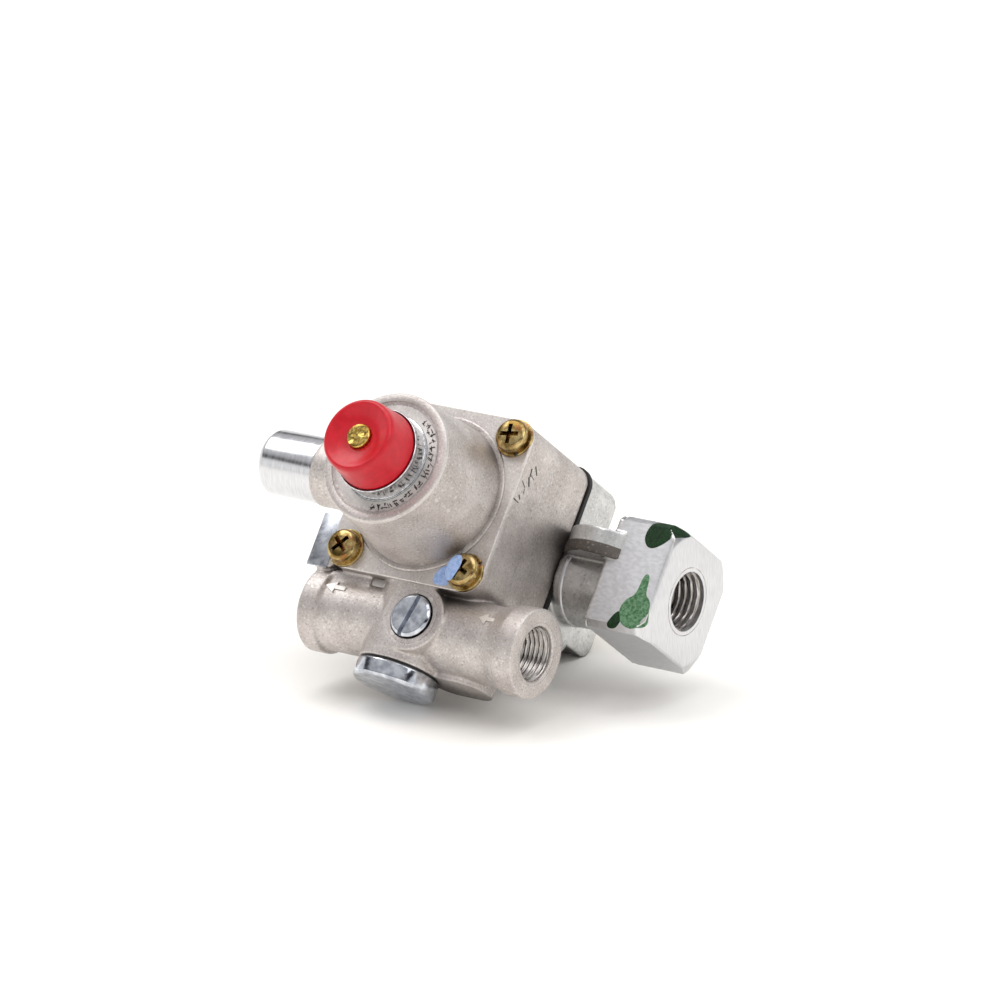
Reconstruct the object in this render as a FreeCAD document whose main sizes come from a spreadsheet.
# Manual-reset gas safety valve with a pilot manifold, in millimetres.
#
# The valve is drawn upright in its own axes: x runs to the inlet port, y runs from the reset button
# through the dome, the body and the magnet at the back, and z runs up from the pilot manifold. The
# origin of those axes is the middle of the flange's front face. At the end every piece is leaned
# back about x into the pose in which the valve lies on a bench, resting on the pilot plug's rim and
# the lower back edge of the rear body, with the origin at the bottom centre of its box.
import FreeCAD, Part
import math
import os
import re
import Sketcher
from FreeCAD import Placement, Rotation, Vector

os.makedirs("parts", exist_ok=True)
doc = FreeCAD.newDocument("gas_safety_valve")

# ---------------------------------------------------------------- driving dimensions
SIZES = {
    # castings: depths are y of a face, halves are half widths, r is a radius
    "flange_half": 18.3, "gasket_half": 18.6, "flange_corner": 4.2,
    "gasket_front": 24.0, "gasket_back": 25.0,
    "screw_pitch_half": 14.4, "screw_radius": 1.95, "screw_hole_radius": 2.1,
    "tapped_hole_radius": 1.98, "washer_radius": 4.0, "washer_thickness": 0.9,
    "screw_head_radius": 3.4, "screw_head_height": 2.3, "screw_length": 34.0,
    "recess_width": 1.0, "recess_span": 4.4, "recess_depth": 1.3,
    "dome_front": 19.3, "dome_base_radius": 15.5, "dome_top_radius": 13.5,
    "dome_rim_radius": 11.7, "dome_rim_depth": 0.5, "dome_cavity_radius": 10.2,
    "well_depth": 3.9, "dome_wall_back": 11.4, "web_front": 3.5, "web_back": 6.0,
    "chamber_radius": 12.2, "vent_radius": 1.6, "vent_pitch_radius": 7.0,
    # outlet on the left wall
    "outlet_depth": 10.0, "outlet_height": 3.3, "hub_radius": 7.1, "hub_end": 32.5,
    "spigot_radius": 6.75, "spigot_end": 45.9, "spigot_shank_radius": 5.4, "spigot_shank_end": 25.0,
    "spigot_bore_radius": 3.85,
    # pilot manifold under the flange
    "manifold_depth": 8.3, "manifold_drop": 25.2, "barrel_radius": 7.8, "pilot_out_end": 21.3,
    "pilot_in_end": 30.7, "out_ring_radius": 8.6, "out_ring_width": 4.2, "in_ring_radius": 9.0,
    "in_ring_width": 4.2, "in_flare": 3.6, "pilot_thread_radius": 5.5, "pilot_thread_length": 11.0,
    "pilot_bore_radius": 3.0, "plug_x": 1.6, "plug_boss_radius": 8.5, "plug_boss_bottom": 34.1,
    "plug_top": 34.5, "plug_bottom": 38.2, "plug_chamber_radius": 6.0, "plug_chamber_top": 19.6,
    "adjuster_x": 5.8, "adjuster_boss_radius": 7.0, "adjuster_face": 0.25,
    "adjuster_head_radius": 4.45, "adjuster_head_front": 1.3, "adjuster_recess_radius": 5.15,
    "adjuster_recess_floor": 1.0, "adjuster_bore_radius": 2.55, "adjuster_shank_radius": 2.5,
    "adjuster_shank_back": 13.0, "slot_width": 0.9, "slot_depth": 1.1, "slot_length": 12.0,
    "saddle_left": 17.0, "saddle_length": 33.0, "saddle_front": 4.0, "saddle_depth": 17.0,
    "saddle_height": 8.0, "foot_x": 10.6, "foot_length": 4.4, "foot_depth": 13.4,
    "foot_radius": 5.2, "foot_height": 9.0, "rib_left": 17.4, "rib_length": 9.6, "rib_front": 2.0,
    "rib_depth": 3.4, "rib_rise": 4.3, "rib_height": 2.2, "feed_radius": 1.2, "feed_x": 6.0,
    "feed_depth": 12.0, "feed_height": 14.0, "screen_radius": 4.5, "screen_wall": 0.25,
    "screen_height": 5.8, "plug_shank_height": 6.0, "plug_shank_bore": 4.6,
    # cast pad under the outlet
    "pad_left": 23.6, "pad_width": 7.0, "pad_front": 1.2, "pad_depth": 12.8, "pad_low": 18.9,
    "pad_height": 11.6, "pad_corner": 3.4,
    # reset train
    "knob_front": 30.9, "knob_back": 23.1, "knob_front_radius": 7.65, "knob_back_radius": 8.3,
    "knob_edge": 1.2, "knob_dish_radius": 5.6, "knob_dish_depth": 1.1, "stem_tip_front": 30.5,
    "stem_radius": 2.5, "stem_step": 12.0, "pusher_radius": 1.5, "pusher_back": 31.35,
    "bushing_bore_radius": 2.56, "bushing_radius": 5.4, "bushing_flange_radius": 7.0,
    "bushing_flange_back": 10.0, "oring_groove_radius": 4.1, "reset_travel": 4.0,
    "collar_outer_radius": 8.8, "collar_inner_radius": 8.45, "collar_front": 22.9,
    "collar_sleeve_radius": 9.05, "clip_thickness": 0.7, "clip_radius": 4.0,
    "spring_washer_radius": 6.4, "spring_washer_thickness": 0.8,
    "interrupter_radius": 6.0, "interrupter_front": 19.0, "interrupter_plate": 1.0,
    "interrupter_rubber": 1.2, "return_radius": 4.9, "return_wire": 0.42, "play": 0.05,
    # rear casting and the main valve in it
    "rear_flange_back": 29.5, "corner_block": 10.5, "corner_block_back": 36.5,
    "housing_half": 13.0, "housing_top": 12.0, "housing_back": 53.4, "housing_edge": 3.0,
    "neck_radius": 8.5, "neck_depth": 31.0, "neck_drop": 3.2, "inlet_depth": 30.6,
    "inlet_drop": 2.5, "inlet_end": 45.2, "inlet_length": 14.0, "inlet_side_half": 11.8,
    "inlet_turned_radius": 15.9, "inlet_thread_radius": 5.9, "inlet_thread_length": 11.0,
    "inlet_bore_radius": 4.0, "inlet_bore_stop": 8.0, "lug_x": 28.0, "lug_depth": 26.0,
    "lug_radius": 9.4, "lug_height": 5.2, "lug_hole_x": 30.2, "lug_hole_depth": 20.2,
    "lug_hole_radius": 0.8, "partition_back": 31.0, "rear_chamber_radius": 8.6,
    "seat_front": 25.4, "seat_lip": 31.6, "seat_radius": 6.0, "seat_bore_radius": 4.4,
    "valve_rubber_front": 31.65, "valve_rubber_radius": 6.2, "valve_rubber_thickness": 1.2,
    "valve_disc_radius": 6.6, "valve_disc_thickness": 1.0, "spindle_radius": 1.2,
    "armature_front": 39.6, "armature_radius": 3.9, "armature_thickness": 1.3,
    "closing_radius": 5.6, "closing_wire": 0.28,
    "magnet_housing_front": 41.2, "magnet_housing_radius": 8.55, "magnet_bore_radius": 4.6,
    "magnet_pole_front": 44.95, "magnet_length": 4.6, "magnet_bore_back": 51.8,
    "contact_nut_back": 59.0, "contact_nut_flats": 9.6, "contact_thread_radius": 4.0,
}

LEAN_BACK = math.radians(36.1)


def level_housing():
    """How far the housing reaches below the axis so that its edge and the plug's rim lie level."""
    rim_depth = SIZES["manifold_depth"] + SIZES["plug_boss_radius"] - 0.4
    rim_level = rim_depth * math.sin(LEAN_BACK) + SIZES["plug_bottom"] * math.cos(LEAN_BACK)
    edge = SIZES["housing_edge"]
    edge_level = (SIZES["housing_back"] - edge) * math.sin(LEAN_BACK) + edge
    return round((rim_level - edge_level) / math.cos(LEAN_BACK) + edge, 3)


SIZES["housing_drop"] = level_housing()


def write_sheet():
    """Put every driving dimension in the document's sheet, one alias to a row."""
    sheet = doc.addObject("Spreadsheet::Sheet", "sizes")
    for row, (alias, size) in enumerate(SIZES.items(), 1):
        sheet.set("A%d" % row, alias)
        sheet.set("B%d" % row, str(size))
        sheet.setAlias("B%d" % row, alias)
    doc.recompute()


def formula(text):
    """Point the names in a sum of dimensions at the sheet: 'stem_radius - 1' reads sizes.stem_radius."""
    return re.sub(r"[a-z]\w+", lambda name: "sizes." + name.group(), str(text))


def amount(text):
    """Work out a sum of dimensions as a number, for a sketch's first guess."""
    total = 0.0
    for sign, term in re.findall(r"([+-]?)\s*([\w.]+)", str(text)):
        size = SIZES[term] if term in SIZES else float(term)
        total += -size if sign == "-" else size
    return total


# ---------------------------------------------------------------- building blocks
TOWARDS = {
    "x": Rotation(Vector(0, 1, 0), 90),
    "-x": Rotation(Vector(0, 1, 0), -90),
    "y": Rotation(Vector(1, 0, 0), -90),
    "-y": Rotation(Vector(1, 0, 0), 90),
    "z": Rotation(),
    "-z": Rotation(Vector(1, 0, 0), 180),
}


def bind(item, **sizes):
    for name, text in sizes.items():
        item.setExpression(name, formula(text))
    return item


def put(item, towards, x, y, z):
    """Turn an item so its own Z points the given way, and bind its base point to the sheet."""
    item.Placement.Rotation = TOWARDS[towards]
    for letter, text in zip("xyz", (x, y, z)):
        item.setExpression(".Placement.Base." + letter, formula(text))
    return item


def rod(towards, radius, length, x=0, y=0, z=0):
    item = bind(doc.addObject("Part::Cylinder", "rod"), Radius=radius, Height=length)
    return put(item, towards, x, y, z)


def cone(towards, base_radius, top_radius, length, x=0, y=0, z=0):
    item = doc.addObject("Part::Cone", "cone")
    bind(item, Radius1=base_radius, Radius2=top_radius, Height=length)
    return put(item, towards, x, y, z)


def box(size, corner):
    item = doc.addObject("Part::Box", "box")
    bind(item, Length=size[0], Width=size[1], Height=size[2])
    return put(item, "z", *corner)


def fuse(label, pieces):
    item = doc.addObject("Part::MultiFuse", label)
    item.Shapes = pieces
    item.Refine = True
    return item


def cut(label, base, tools):
    item = doc.addObject("Part::Cut", label)
    item.Base = base
    item.Tool = tools[0] if len(tools) == 1 else fuse(label + "_cuts", tools)
    item.Refine = True
    return item


def group(label, pieces):
    item = doc.addObject("Part::Compound", label)
    item.Links = pieces
    return item


def rounded(base, direction, radius, keep=None):
    """Round the straight edges of a box that run along a direction."""
    doc.recompute()
    chosen = []
    for number, edge in enumerate(base.Shape.Edges, 1):
        along = edge.tangentAt(edge.FirstParameter)
        if abs(abs(along.dot(direction)) - 1) < 1e-6 and (keep is None or keep(edge.CenterOfMass)):
            chosen.append((number, radius, radius))
    item = doc.addObject("Part::Fillet", "rounded")
    item.Base = base
    item.Edges = chosen
    return item


def slab(front, thickness, half="flange_half"):
    """A square plate across y with the flange's rounded corners."""
    wide = half + " + " + half
    plate = box((wide, thickness, wide), ("-" + half, front, "-" + half))
    return rounded(plate, Vector(0, 1, 0), SIZES["flange_corner"])


def corners():
    """The four flange screw positions, as signs of x and z."""
    return [(x, z) for x in ("-", "") for z in ("-", "")]


def turned(label, towards, base, outline):
    """A body turned about its own Z: its half outline is (radius, height) pairs, in order."""
    body = doc.addObject("PartDesign::Body", label)
    sketch = body.newObject("Sketcher::SketchObject", label + "_outline")
    planes = [plane for plane in body.Origin.OriginFeatures if plane.Role == "XZ_Plane"]
    sketch.AttachmentSupport = [(planes[0], "")]
    sketch.MapMode = "FlatFace"
    points = [Vector(amount(radius), amount(height), 0) for radius, height in outline]
    count = len(points)
    for index in range(count):
        sketch.addGeometry(Part.LineSegment(points[index], points[(index + 1) % count]), False)
    for index in range(count):
        following = (index + 1) % count
        sketch.addConstraint(Sketcher.Constraint("Coincident", index, 2, following, 1))
    for index, (radius, height) in enumerate(outline):
        for kind, axis, text in (("DistanceX", -2, radius), ("DistanceY", -1, height)):
            if str(text) == "0":
                sketch.addConstraint(Sketcher.Constraint("PointOnObject", index, 1, axis))
                continue
            fixed = sketch.addConstraint(Sketcher.Constraint(kind, -1, 1, index, 1, amount(text)))
            sketch.setExpression("Constraints[%d]" % fixed, formula(text))
    turn = body.newObject("PartDesign::Revolution", label + "_turn")
    turn.Profile = sketch
    turn.ReferenceAxis = (sketch, ["V_Axis"])
    turn.Angle = 360
    return put(body, towards, *base)


def coil(label, radius, wire, front, back, turns):
    """A compression spring about y: a wire swept along a helix from one end to the other."""
    length = amount(back) - amount(front)
    helix = bind(doc.addObject("Part::Helix", label + "_helix"), Radius=radius)
    helix.Height = length
    helix.Pitch = length / turns
    section = bind(doc.addObject("Part::Circle", label + "_wire"), Radius=wire)
    section.Placement = Placement(Vector(amount(radius), 0, 0), Rotation(Vector(1, 0, 0), 90))
    spring = doc.addObject("Part::Sweep", label)
    spring.Sections = [section]
    spring.Spine = (helix, ["Edge1"])
    spring.Solid = True
    spring.Frenet = True
    return put(spring, "y", 0, front, 0)


# ---------------------------------------------------------------- front casting
def pilot_manifold():
    """The cast barrel along x with its end rings, the plug boss, the adjuster boss and the foot."""
    low = "-manifold_drop"
    deep = "manifold_depth"
    return [
        rod("x", "barrel_radius", "pilot_out_end + pilot_in_end", "-pilot_out_end", deep, low),
        rod("x", "out_ring_radius", "out_ring_width", "-pilot_out_end", deep, low),
        rod("x", "in_ring_radius", "in_ring_width", "pilot_in_end - in_ring_width", deep, low),
        cone("x", "barrel_radius", "in_ring_radius", "in_flare",
             "pilot_in_end - in_ring_width - in_flare", deep, low),
        box(("saddle_length", "saddle_depth", "saddle_height"), ("-saddle_left", "saddle_front", low)),
        rod("z", "plug_boss_radius", 16, "plug_x", deep, "-plug_boss_bottom"),
        rod("y", "adjuster_boss_radius", "manifold_depth + adjuster_face",
            "adjuster_x", "-adjuster_face", low),
        rod("z", "foot_radius", "foot_height", "foot_x", "foot_depth", "-plug_boss_bottom"),
        rod("z", "foot_radius", "foot_height", "foot_x + foot_length", "foot_depth",
            "-plug_boss_bottom"),
        box(("foot_length", "foot_radius + foot_radius", "foot_height"),
            ("foot_x", "foot_depth - foot_radius", "-plug_boss_bottom")),
        box(("rib_length", "rib_depth", "rib_height"),
            ("-rib_left", "rib_front", "-manifold_drop + rib_rise")),
    ]


def pilot_passages():
    """Threaded ports at both ends, the bore between them, the plug chamber and the screw's hole."""
    low = "-manifold_drop"
    deep = "manifold_depth"
    thread = "pilot_thread_length"
    return [
        rod("x", "pilot_thread_radius", thread, "-pilot_out_end", deep, low),
        rod("-x", "pilot_thread_radius", thread, "pilot_in_end", deep, low),
        rod("x", "pilot_bore_radius", "pilot_out_end + pilot_in_end", "-pilot_out_end", deep, low),
        rod("z", "plug_chamber_radius", "plug_boss_bottom - plug_chamber_top",
            "plug_x", deep, "-plug_boss_bottom"),
        rod("y", "adjuster_recess_radius", "adjuster_face + adjuster_recess_floor",
            "adjuster_x", "-adjuster_face", low),
        rod("y", "adjuster_bore_radius", "adjuster_shank_back + 0.5", "adjuster_x", 0, low),
        rod("z", "feed_radius", "feed_height", "-feed_x", "feed_depth", low),
    ]


def front_casting():
    pad = rounded(box(("pad_width", "pad_depth", "pad_height"), ("-pad_left", "pad_front", "-pad_low")),
                  Vector(0, 1, 0), SIZES["pad_corner"])
    solid = fuse("front_casting", [
        slab(0, "gasket_front"),
        cone("-y", "dome_base_radius", "dome_top_radius", "dome_front"),
        rod("-x", "hub_radius", "hub_end - 10", -10, "outlet_depth", "outlet_height"),
        pad,
    ] + pilot_manifold())
    holes = [
        rod("y", "dome_rim_radius", "dome_rim_depth", 0, "-dome_front"),
        rod("y", "collar_sleeve_radius", "well_depth", 0, "-dome_front"),
        rod("y", "bushing_radius", "dome_front", 0, "-dome_front"),
        rod("y", "dome_cavity_radius", "dome_wall_back + web_front", 0, "-dome_wall_back"),
        rod("y", "bushing_bore_radius", 8, 0, 0),
        rod("y", "chamber_radius", "gasket_front - web_back", 0, "web_back"),
        rod("-x", "spigot_bore_radius", "hub_end", 0, "outlet_depth", "outlet_height"),
        rod("-x", "spigot_shank_radius", "hub_end - spigot_shank_end",
            "-spigot_shank_end", "outlet_depth", "outlet_height"),
    ]
    for turn in (90, 210, 330):
        side = SIZES["vent_pitch_radius"] * math.cos(math.radians(turn))
        rise = SIZES["vent_pitch_radius"] * math.sin(math.radians(turn))
        holes.append(rod("y", "vent_radius", 4, side, 3, rise))
    for x, z in corners():
        holes.append(rod("y", "screw_hole_radius", "gasket_front",
                         x + "screw_pitch_half", 0, z + "screw_pitch_half"))
    return cut("front_body", solid, holes + pilot_passages())


def outlet_spigot():
    """A turned nipple screwed into the cast hub: shank, body and a chamfered, bored end."""
    bore, shank, body = "spigot_bore_radius", "spigot_shank_radius", "spigot_radius"
    shoulder = "hub_end - spigot_shank_end"
    end = "spigot_end - spigot_shank_end"
    return turned("outlet_spigot", "-x", ("-spigot_shank_end", "outlet_depth", "outlet_height"), [
        (bore, 0), (shank, 0), (shank, shoulder), (body, shoulder), (body, end + " - 1.3"),
        (body + " - 0.8", end), (bore + " + 0.6", end), (bore, end + " - 0.6")])


# ---------------------------------------------------------------- joint face and fasteners
def body_gasket():
    plate = slab("gasket_front", "gasket_back - gasket_front", "gasket_half")
    thick = "gasket_back - gasket_front"
    holes = [rod("y", "chamber_radius", thick, 0, "gasket_front")]
    for x, z in corners():
        holes.append(rod("y", "screw_hole_radius", thick,
                         x + "screw_pitch_half", "gasket_front", z + "screw_pitch_half"))
    return cut("body_gasket", plate, holes)


def flange_screw(x, z, turn):
    """A pan-head machine screw with a cross recess, its head on the washer in front of the flange."""
    place = (x + "screw_pitch_half", "-washer_thickness", z + "screw_pitch_half")
    head = "screw_head_radius"
    tall = "screw_head_height"
    screw = turned("screw_body", "-y", place, [
        (0, 0), (head, 0), (head, tall + " - 0.9"), (head + " - 0.5", tall + " - 0.3"),
        (head + " - 1.3", tall), (0, tall)])
    shank = rod("y", "screw_radius", "screw_length", *place)
    solid = fuse("screw_solid", [screw, shank])
    slots = []
    for span in (("recess_span", "recess_width"), ("recess_width", "recess_span")):
        slot = box((span[0], "recess_depth", span[1]), (0, 0, 0))
        middle = Vector(*[amount(text) for text in place])
        width, height = amount(span[0]) / 2, amount(span[1]) / 2
        spin = Rotation(Vector(0, 1, 0), turn)
        offset = spin.multVec(Vector(width, 0, height))
        for letter in "xyz":
            slot.setExpression(".Placement.Base." + letter, None)
        front = middle.y - SIZES["screw_head_height"]
        slot.Placement = Placement(Vector(middle.x - offset.x, front, middle.z - offset.z), spin)
        slots.append(slot)
    return cut("screw", solid, slots)


def flange_screws():
    turns = (12, 38, 64, 27)
    return group("flange_screws", [flange_screw(x, z, turn) for (x, z), turn in zip(corners(), turns)])


def lock_washers():
    washers = []
    for x, z in corners():
        place = (x + "screw_pitch_half", "-washer_thickness", z + "screw_pitch_half")
        disc = rod("y", "washer_radius", "washer_thickness", *place)
        hole = rod("y", "screw_hole_radius", "washer_thickness", *place)
        washers.append(cut("washer", disc, [hole]))
    return group("lock_washers", washers)


# ---------------------------------------------------------------- reset button train
def knob_collar():
    """The polished ring in front of the dome and its sleeve that lines the button's well."""
    outer, inner, sleeve = "collar_outer_radius", "collar_inner_radius", "collar_sleeve_radius"
    rim = "collar_front - dome_front + dome_rim_depth"
    back = "collar_front - dome_front + well_depth"
    return turned("knob_collar", "y", (0, "-collar_front", 0), [
        (inner, 0.1), (inner + " + 0.1", 0), (outer + " - 0.2", 0), (outer, 0.2), (outer, rim),
        (sleeve, rim), (sleeve, back), (inner, back)])


def stem_bushing():
    """The brass guide of the reset stem, with a groove inside for the stem seal."""
    bore, body, flange = "bushing_bore_radius", "bushing_radius", "bushing_flange_radius"
    shoulder = "dome_front - well_depth - dome_wall_back"
    back = "dome_front - well_depth - bushing_flange_back"
    groove = "oring_groove_radius"
    return turned("stem_bushing", "y", (0, "well_depth - dome_front", 0), [
        (bore, 0), (body, 0), (body, shoulder), (flange, shoulder), (flange, back), (bore, back),
        (bore, 3.4), (groove, 3.4), (groove, 1.8), (bore, 1.8)])


def stem_oring():
    return put(ring_named("stem_oring", "bushing_bore_radius + 0.75", 0.72), "y",
               0, "well_depth - dome_front + 2.6", 0)


def ring_named(label, major, minor):
    return bind(doc.addObject("Part::Torus", label), Radius1=major, Radius2=minor)


def reset_knob():
    """A round push button: dished face, rounded edge, slight draft, and a hole for the stem."""
    hole, front, back = "stem_radius", "knob_front_radius", "knob_back_radius"
    dish = "knob_dish_radius"
    length = "knob_front - knob_back"
    return turned("reset_knob", "y", (0, "-knob_front", 0), [
        (hole, "knob_dish_depth"), (dish + " - 1.4", "knob_dish_depth"), (dish, 0.35),
        (front + " - knob_edge", 0), (front + " - 0.5", 0.3), (front, "knob_edge"),
        (back, length + " - 0.5"), (back + " - 0.5", length), (hole, length)])


def reset_stem():
    """The brass stem: staked tip in the knob, guided shank, and the thinner pusher behind it."""
    big, small = "stem_radius", "pusher_radius"
    step = "stem_tip_front + stem_step"
    end = "stem_tip_front + pusher_back"
    return turned("reset_stem", "y", (0, "-stem_tip_front", 0), [
        (0, 0), (big + " - 0.4", 0), (big, 0.4), (big, step), (small, step), (small, end + " - 0.4"),
        (small + " - 0.4", end), (0, end)])


def stem_clip():
    """An open retaining ring that sits against the bushing when the button is out."""
    start = "-bushing_flange_back + play"
    disc = rod("y", "clip_radius", "clip_thickness", 0, start)
    hole = rod("y", "stem_radius", "clip_thickness", 0, start)
    gap = box((3, "clip_thickness", 6), (-1.5, start, -6))
    return cut("stem_clip", disc, [hole, gap])


def spring_washer():
    start = "-bushing_flange_back + clip_thickness + play"
    disc = rod("y", "spring_washer_radius", "spring_washer_thickness", 0, start)
    hole = rod("y", "stem_radius", "spring_washer_thickness", 0, start)
    return cut("spring_washer", disc, [hole])


def return_spring():
    """The spring between the spring washer and the body's web that pushes the button out."""
    front = "-bushing_flange_back + clip_thickness + spring_washer_thickness + play + play + return_wire"
    back = "web_front - play - return_wire"
    return coil("return_spring", "return_radius", "return_wire", front, back, 4.5)


def interrupter(label, front, thickness, radius):
    plate = rod("y", radius, thickness, 0, front)
    hole = rod("y", "pusher_radius", thickness, 0, front)
    return cut(label, plate, [hole])


# ---------------------------------------------------------------- rear casting
def rear_casting():
    """The rear body: flange plate, corner blocks, housing, neck, square inlet block and lug."""
    tall = "housing_top + housing_drop"
    housing = rounded(box(("housing_half + housing_half", "housing_back - 28", tall),
                          ("-housing_half", 28, "-housing_drop")), Vector(1, 0, 0), SIZES["housing_edge"],
                      lambda middle: middle.y > 40)
    pieces = [
        slab("gasket_back", "rear_flange_back - gasket_back"),
        housing,
        inlet_neck(),
        rod("z", "lug_radius", "lug_height", "lug_x", "lug_depth", 0),
        inlet_block(),
    ]
    for x, z in corners():
        corner = [amount(sign + "flange_half") for sign in (x, z)]
        size = SIZES["corner_block"]
        low = [value if value < 0 else value - size for value in corner]
        block = box(("corner_block", "corner_block_back - 27", "corner_block"), (low[0], 27, low[1]))
        outside = Vector(corner[0], 0, corner[1])
        block = rounded(block, Vector(0, 1, 0), SIZES["flange_corner"],
                        lambda middle: abs(middle.x - outside.x) < 1 and abs(middle.z - outside.z) < 1)
        pieces.append(block)
    solid = fuse("rear_casting", pieces)
    port = ("inlet_end", "inlet_depth", "-inlet_drop")
    holes = [
        rod("y", "seat_radius", "partition_back - gasket_back", 0, "gasket_back"),
        rod("y", "rear_chamber_radius", "housing_back - partition_back", 0, "partition_back"),
        rod("-x", "inlet_thread_radius", "inlet_thread_length", *port),
        rod("-x", "inlet_bore_radius", "inlet_end - inlet_bore_stop", *port),
        cone("-x", "inlet_thread_radius + 0.9", "inlet_thread_radius", 0.9, *port),
        rod("z", "lug_hole_radius", 2, "lug_hole_x", "lug_hole_depth", 0),
    ]
    for x, z in corners():
        holes.append(rod("y", "tapped_hole_radius", 10,
                         x + "screw_pitch_half", "gasket_back", z + "screw_pitch_half"))
    return cut("rear_body", solid, holes)


def inlet_neck():
    """The round neck to the inlet block, cut back where it passes behind the flange and gasket."""
    neck = rod("x", "neck_radius", "inlet_end - inlet_length - 8", 9, "neck_depth", "-neck_drop")
    relief = box(("gasket_half + 0.1", "neck_radius", "neck_radius + neck_radius + 2"),
                 (0, "gasket_back - neck_radius", "-neck_drop - neck_radius - 1"))
    return cut("inlet_neck", neck, [relief])


def inlet_block():
    """The square wrench block round the inlet, its corners turned and its end face chamfered."""
    wide = "inlet_side_half + inlet_side_half"
    square = box(("inlet_length", wide, wide),
                 ("inlet_end - inlet_length", "inlet_depth - inlet_side_half",
                  "-inlet_drop - inlet_side_half"))
    start = ("inlet_end - inlet_length", "inlet_depth", "-inlet_drop")
    turned_stock = rod("x", "inlet_turned_radius", "inlet_length - 2", *start)
    nose = cone("x", "inlet_turned_radius", "inlet_turned_radius - 1.4", 2,
                "inlet_end - 2", "inlet_depth", "-inlet_drop")
    stock = fuse("turned_stock", [turned_stock, nose])
    block = doc.addObject("Part::Common", "inlet_block")
    block.Base = square
    block.Tool = stock
    return block


def seat_ring():
    """The pressed brass seat: a sleeve in the partition with a narrow lip facing the valve."""
    outer, bore = "seat_radius", "seat_bore_radius"
    long = "seat_lip - seat_front"
    return turned("seat_ring", "y", (0, "seat_front", 0), [
        (bore, 0), (outer, 0), (outer, long + " - 0.6"), (bore + " + 1.0", long + " - 0.6"),
        (bore + " + 0.6", long), (bore + " + 0.2", long), (bore, long + " - 0.3")])


# ---------------------------------------------------------------- main valve and magnet unit
def valve_rubber():
    return rod_named("valve_rubber", "valve_rubber_radius", "valve_rubber_thickness",
                     "valve_rubber_front")


def rod_named(label, radius, length, front):
    item = bind(doc.addObject("Part::Cylinder", label), Radius=radius, Height=length)
    return put(item, "y", 0, front, 0)


def valve_disc():
    """The dished disc that carries the rubber, with a short hub that takes the spindle."""
    base = "valve_rubber_front + valve_rubber_thickness"
    rim, thick, hole = "valve_disc_radius", "valve_disc_thickness", "spindle_radius"
    return turned("valve_disc", "y", (0, base, 0), [
        (hole, 0), (rim, 0), (rim, thick), (hole + " + 1.2", thick), (hole + " + 1.2", thick + " + 1.2"),
        (hole, thick + " + 1.2")])


def valve_spindle():
    base = "valve_rubber_front + valve_rubber_thickness"
    return rod_named("valve_spindle", "spindle_radius",
                     "armature_front - valve_rubber_front - valve_rubber_thickness", base)


def armature():
    return rod_named("armature", "armature_radius", "armature_thickness", "armature_front")


def closing_spring():
    """The spring between the valve disc and the magnet housing that shuts the valve."""
    front = "valve_rubber_front + valve_rubber_thickness + valve_disc_thickness + play + closing_wire"
    back = "magnet_housing_front - play - closing_wire"
    return coil("closing_spring", "closing_radius", "closing_wire", front, back, 3.5)


def magnet_housing():
    """The brass magnet housing screwed in from the back, its hex nut drilled for the thermocouple."""
    body, bore, core = "magnet_housing_radius", "magnet_bore_radius", "contact_thread_radius"
    long = "housing_back - magnet_housing_front"
    chamber = "magnet_bore_back - magnet_housing_front"
    shell = turned("magnet_shell", "y", (0, "magnet_housing_front", 0), [
        (bore, 0), (body, 0), (body, long + " - 2.6"), (body + " - 1.0", long + " - 2.6"),
        (body + " - 1.0", long + " - 1.2"), (body, long + " - 1.2"), (body, long), (core, long),
        (core, chamber), (bore, chamber)])
    nut = doc.addObject("Part::Prism", "contact_nut")
    nut.Polygon = 6
    flats = SIZES["contact_nut_flats"]
    nut.Circumradius = flats / math.sqrt(3)
    bind(nut, Height="contact_nut_back - housing_back")
    put(nut, "y", 0, "housing_back", 0)
    drilled = cut("drilled_nut", nut, [rod("y", core, "contact_nut_back - housing_back", 0,
                                           "housing_back")])
    return fuse("magnet_housing", [shell, drilled])


def housing_seal():
    """The seal ring in the magnet housing's groove."""
    return put(ring_named("housing_seal", "magnet_housing_radius - 0.45", 0.44), "y",
               0, "housing_back - 1.9", 0)


def magnet_yoke():
    """The U-shaped iron of the magnet: two poles towards the armature and a bridge behind them."""
    pole = ("2", "magnet_length", "4.4")
    left = box(pole, (-3.4, "magnet_pole_front", -2.2))
    right = box(pole, (1.4, "magnet_pole_front", -2.2))
    bridge = box((6.8, 1.4, 4.4), (-3.4, "magnet_pole_front + magnet_length - 1.4", -2.2))
    return fuse("magnet_yoke", [left, right, bridge])


def magnet_coil():
    """The few turns of copper that the thermocouple drives, wound round one pole."""
    outer = box((2.6, 2.2, 5.2), (1.1, "magnet_pole_front + 0.7", -2.6))
    inner = box((2.0, 2.2, 4.4), (1.4, "magnet_pole_front + 0.7", -2.2))
    return cut("magnet_coil", outer, [inner])


def contact_insulator():
    start = "magnet_pole_front + magnet_length"
    plate = rod("y", "magnet_bore_radius", 1.3, 0, start)
    hole = rod("y", 1.2, 1.3, 0, start)
    return cut("contact_insulator", plate, [hole])


def contact_pin():
    """The button that the thermocouple's end presses on, inside the nut."""
    start = "magnet_pole_front + magnet_length"
    return turned("contact_pin", "y", (0, start, 0), [
        (0, 0), (1.2, 0), (1.2, 1.3), (1.9, 1.3), (1.9, 1.9), (0, 2.2)])


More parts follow.
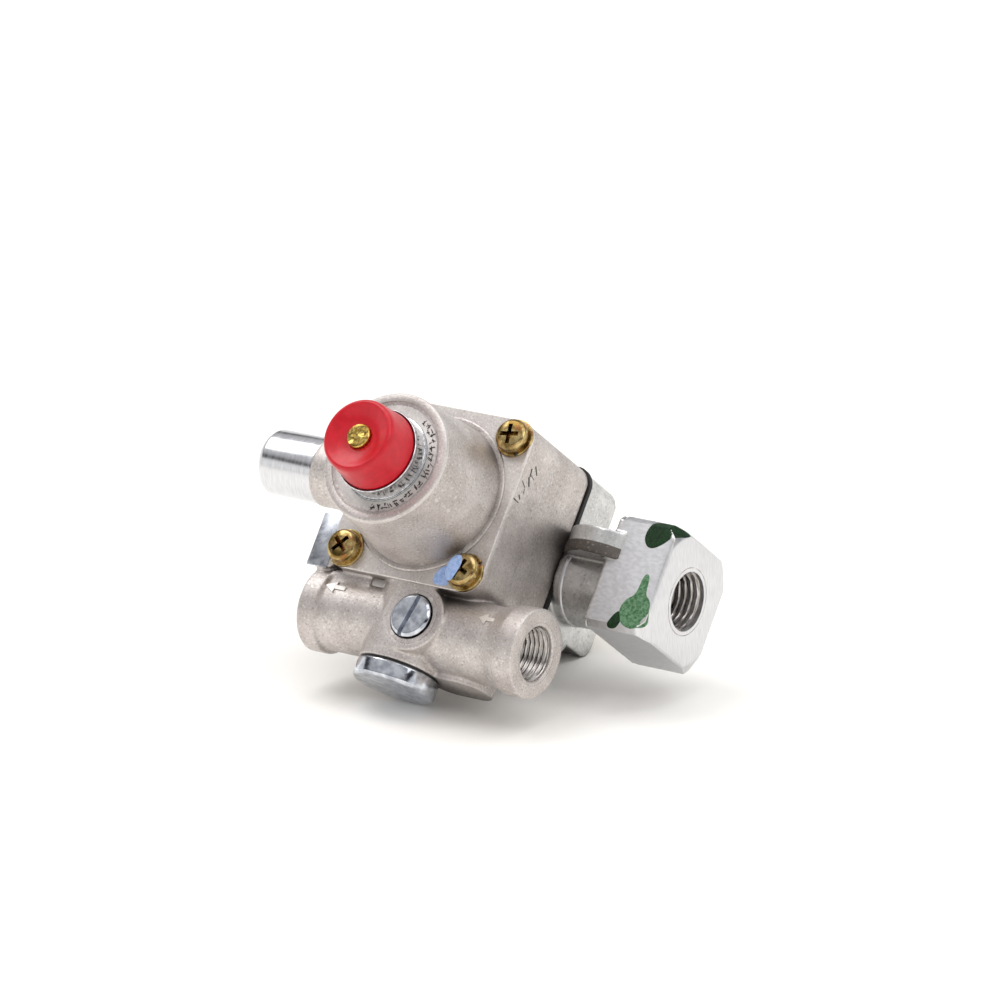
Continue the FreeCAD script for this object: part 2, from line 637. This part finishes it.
# ---------------------------------------------------------------- pilot manifold fittings
def pilot_plug():
    """The turned plug under the manifold: a thin round head and a hollow shank that holds the screen."""
    head = "plug_boss_radius"
    thick = "plug_bottom - plug_top"
    long = thick + " + plug_shank_height"
    bore = "plug_shank_bore"
    shank = "plug_chamber_radius - 0.05"
    return turned("pilot_plug", "z", ("plug_x", "manifold_depth", "-plug_bottom"), [
        (0, 0), (head + " - 0.4", 0), (head, 0.4), (head, thick + " - 0.3"),
        (head + " - 0.3", thick), (shank, thick), (shank, long), (bore, long), (bore, thick), (0, thick)])


def plug_seal():
    place = ("plug_x", "manifold_depth", "-plug_top")
    thick = "plug_top - plug_boss_bottom"
    disc = rod("z", "plug_boss_radius - 0.5", thick, *place)
    hole = rod("z", "plug_chamber_radius", thick, *place)
    return cut("plug_seal", disc, [hole])


def filter_screen():
    """The cup of gauze that stands in the plug and strains the pilot gas."""
    place = ("plug_x", "manifold_depth", "-plug_top")
    tube = rod("z", "screen_radius", "screen_height", *place)
    inside = rod("z", "screen_radius - screen_wall", "screen_height - screen_wall", *place)
    return cut("filter_screen", tube, [inside])


def adjusting_screw():
    """The slotted pilot-flow screw: a raised head with a groove round it and a tapered tip."""
    head, shank = "adjuster_head_radius", "adjuster_shank_radius"
    front = "adjuster_head_front"
    seat = front + " + adjuster_recess_floor - 0.05"
    end = front + " + adjuster_shank_back"
    screw = turned("screw_turning", "y", ("adjuster_x", "-adjuster_head_front", "-manifold_drop"), [
        (0, 0), (head + " - 0.5", 0), (head, 0.4), (head, seat), (shank, seat),
        (shank, front + " + 2.6"), (shank + " - 0.6", front + " + 2.6"),
        (shank + " - 0.6", front + " + 3.8"), (shank, front + " + 3.8"),
        (shank, end + " - 1.4"), (0.8, end), (0, end)])
    slot = box(("slot_width", "slot_depth", "slot_length"), (0, 0, 0))
    tilt = Rotation(Vector(0, 1, 0), 11.5)
    offset = tilt.multVec(Vector(SIZES["slot_width"] / 2, 0, SIZES["slot_length"] / 2))
    for letter in "xyz":
        slot.setExpression(".Placement.Base." + letter, None)
    corner = Vector(amount("adjuster_x") - offset.x, -SIZES["adjuster_head_front"],
                    -SIZES["manifold_drop"] - offset.z)
    slot.Placement = Placement(corner, tilt)
    return cut("adjusting_screw", screw, [slot])


def adjuster_oring():
    """The seal in the adjusting screw's groove; it slides in and out with the screw."""
    return put(ring_named("adjuster_oring", "adjuster_shank_radius - 0.28", 0.28), "y",
               "adjuster_x", 3.2, "-manifold_drop")


# ---------------------------------------------------------------- the document
def build():
    stem_disc_front = "interrupter_front"
    stem_rubber_front = "interrupter_front + interrupter_plate"
    return [
        front_casting(), outlet_spigot(), body_gasket(), flange_screws(), lock_washers(),
        rear_casting(), seat_ring(), knob_collar(), stem_bushing(), stem_oring(),
        reset_knob(), reset_stem(), stem_clip(), spring_washer(), return_spring(),
        interrupter("interrupter_disc", stem_disc_front, "interrupter_plate", "interrupter_radius"),
        interrupter("interrupter_rubber", stem_rubber_front, "interrupter_rubber",
                    "interrupter_radius - 0.3"),
        valve_rubber(), valve_disc(), valve_spindle(), armature(), closing_spring(),
        magnet_housing(), housing_seal(), magnet_yoke(), magnet_coil(), contact_insulator(),
        contact_pin(), pilot_plug(), plug_seal(), filter_screen(), adjusting_screw(),
        adjuster_oring(),
    ]


def lay_down(parts):
    """Lean every piece back about x and move the whole so its box's bottom centre is the origin."""
    lean = Placement(Vector(), Rotation(Vector(1, 0, 0), -math.degrees(LEAN_BACK)))
    leaned = []
    for part in parts:
        shape = part.Shape.copy()
        shape.Placement = lean.multiply(shape.Placement)
        leaned.append(shape)
    reach = Part.makeCompound(leaned).optimalBoundingBox(False)
    move = Vector(-(reach.XMin + reach.XMax) / 2, -(reach.YMin + reach.YMax) / 2, -reach.ZMin)
    seat = Placement(move, Rotation()).multiply(lean)
    for part in parts:
        own = part.Placement
        for path, _ in list(part.ExpressionEngine):
            if "Placement" in path:
                part.setExpression(path, None)
        part.Placement = seat.multiply(own)
    doc.recompute()
    return move, reach


def check(parts):
    """Stop if anything in the document failed or a part is not a sound closed solid."""
    for item in doc.Objects:
        wrong = [state for state in item.State if state in ("Invalid", "Error")]
        if wrong:
            raise RuntimeError("%s failed: %s" % (item.Label, wrong))
    for part in parts:
        shape = part.Shape
        if shape.isNull() or not shape.isValid() or not shape.Solids:
            raise RuntimeError(part.Label + " is not a valid solid")
        if len(shape.Solids) != (4 if part.TypeId == "Part::Compound" else 1):
            raise RuntimeError(part.Label + " is in too many pieces")


write_sheet()
made = build()
doc.recompute()
check(made)
shift, extent = lay_down(made)
check(made)
for part in made:
    part.Shape.exportStep("parts/%s.step" % part.Label)
    print("%-20s %2d solid(s) %10.1f mm3" % (part.Label, len(part.Shape.Solids), part.Shape.Volume))
print("moved by", shift, "size", extent.XLength, extent.YLength, extent.ZLength)
